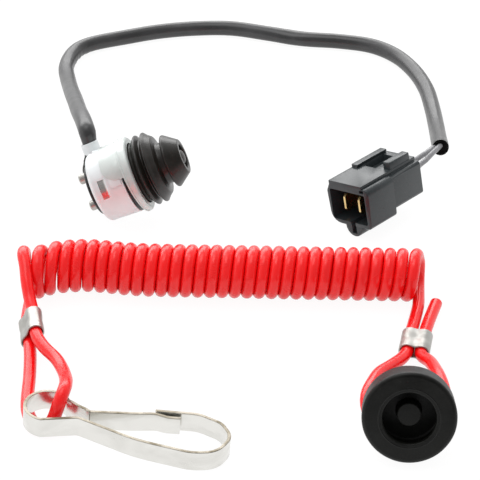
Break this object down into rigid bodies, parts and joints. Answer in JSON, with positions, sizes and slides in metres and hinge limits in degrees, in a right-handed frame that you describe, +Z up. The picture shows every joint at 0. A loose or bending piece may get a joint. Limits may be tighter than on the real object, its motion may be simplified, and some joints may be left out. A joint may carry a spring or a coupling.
{
  "type": "emergency stop switch",
  "caption": "Motorbike emergency stop: plunger switch in a plated can with rubber boot, sleeved lead and plug, and the pull-off cap on a coiled cord with a spring hook.",
  "frame": {"origin": "centre of the bounding box of the switch, cap and hook, on the table that they lie on", "axes": "+X to the viewer's right along the coiled cord, +Y away from the viewer, +Z up"},
  "size_m": [0.1467, 0.2705, 0.03],
  "materials": {
    "bright_steel": "satin",
    "black_plastic": "satin",
    "nickel": "bright",
    "brass": "bright",
    "spring_steel": "satin",
    "grey_nylon": "gloss",
    "boot_rubber": "matte",
    "zinc_plate": "clear zinc",
    "black_rubber": "matte",
    "grey_vinyl": "satin",
    "grey_plastic": "satin",
    "red_vinyl": "gloss",
    "polished_steel": "polished"
  },
  "bodies": {
    "switch_and_tether": {"housing_can": "bright_steel", "base_disc": "black_plastic", "terminal_stud_a": "nickel", "terminal_stud_b": "nickel", "fixed_contact_a": "brass", "fixed_contact_b": "brass", "plunger_guide": "black_plastic", "return_spring": "spring_steel", "rubber_boot": "boot_rubber", "front_collar": "zinc_plate", "cable_clamp": "nickel", "cable_grommet": "black_rubber", "sleeve": "grey_vinyl", "wire_a": "grey_vinyl", "wire_b": "grey_vinyl", "connector_housing": "grey_plastic", "blade_terminal_a": "brass", "blade_terminal_b": "brass", "lanyard_coil": "red_vinyl", "hook_lead": "red_vinyl", "cap_lead": "red_vinyl", "crimp_hook": "nickel", "crimp_cap": "nickel", "cap": "black_rubber", "hook_frame": "polished_steel"},
    "plunger": {"plunger": "grey_nylon", "contact_bridge": "brass", "bridge_clip": "spring_steel"},
    "gate": {"hook_gate": "polished_steel"}
  },
  "joints": [
    {"name": "plunger_press", "type": "slide", "parent": "switch_and_tether", "child": "plunger", "axis": [0.9225, 0.049, 0.3828], "range_m": [-0.0032, 0], "stiffness_N_per_m": 300, "springref_m": 0.003, "deforming": ["return_spring"]},
    {"name": "hook_gate_flex", "type": "hinge", "parent": "switch_and_tether", "child": "gate", "pos_m": [-0.04212, -0.06145, 0.00624], "axis": [0.075, 0, 0.9972], "range_deg": [-12, 0], "stiffness_Nm_per_rad": 0.05, "springref_deg": 5.73}
  ]
}
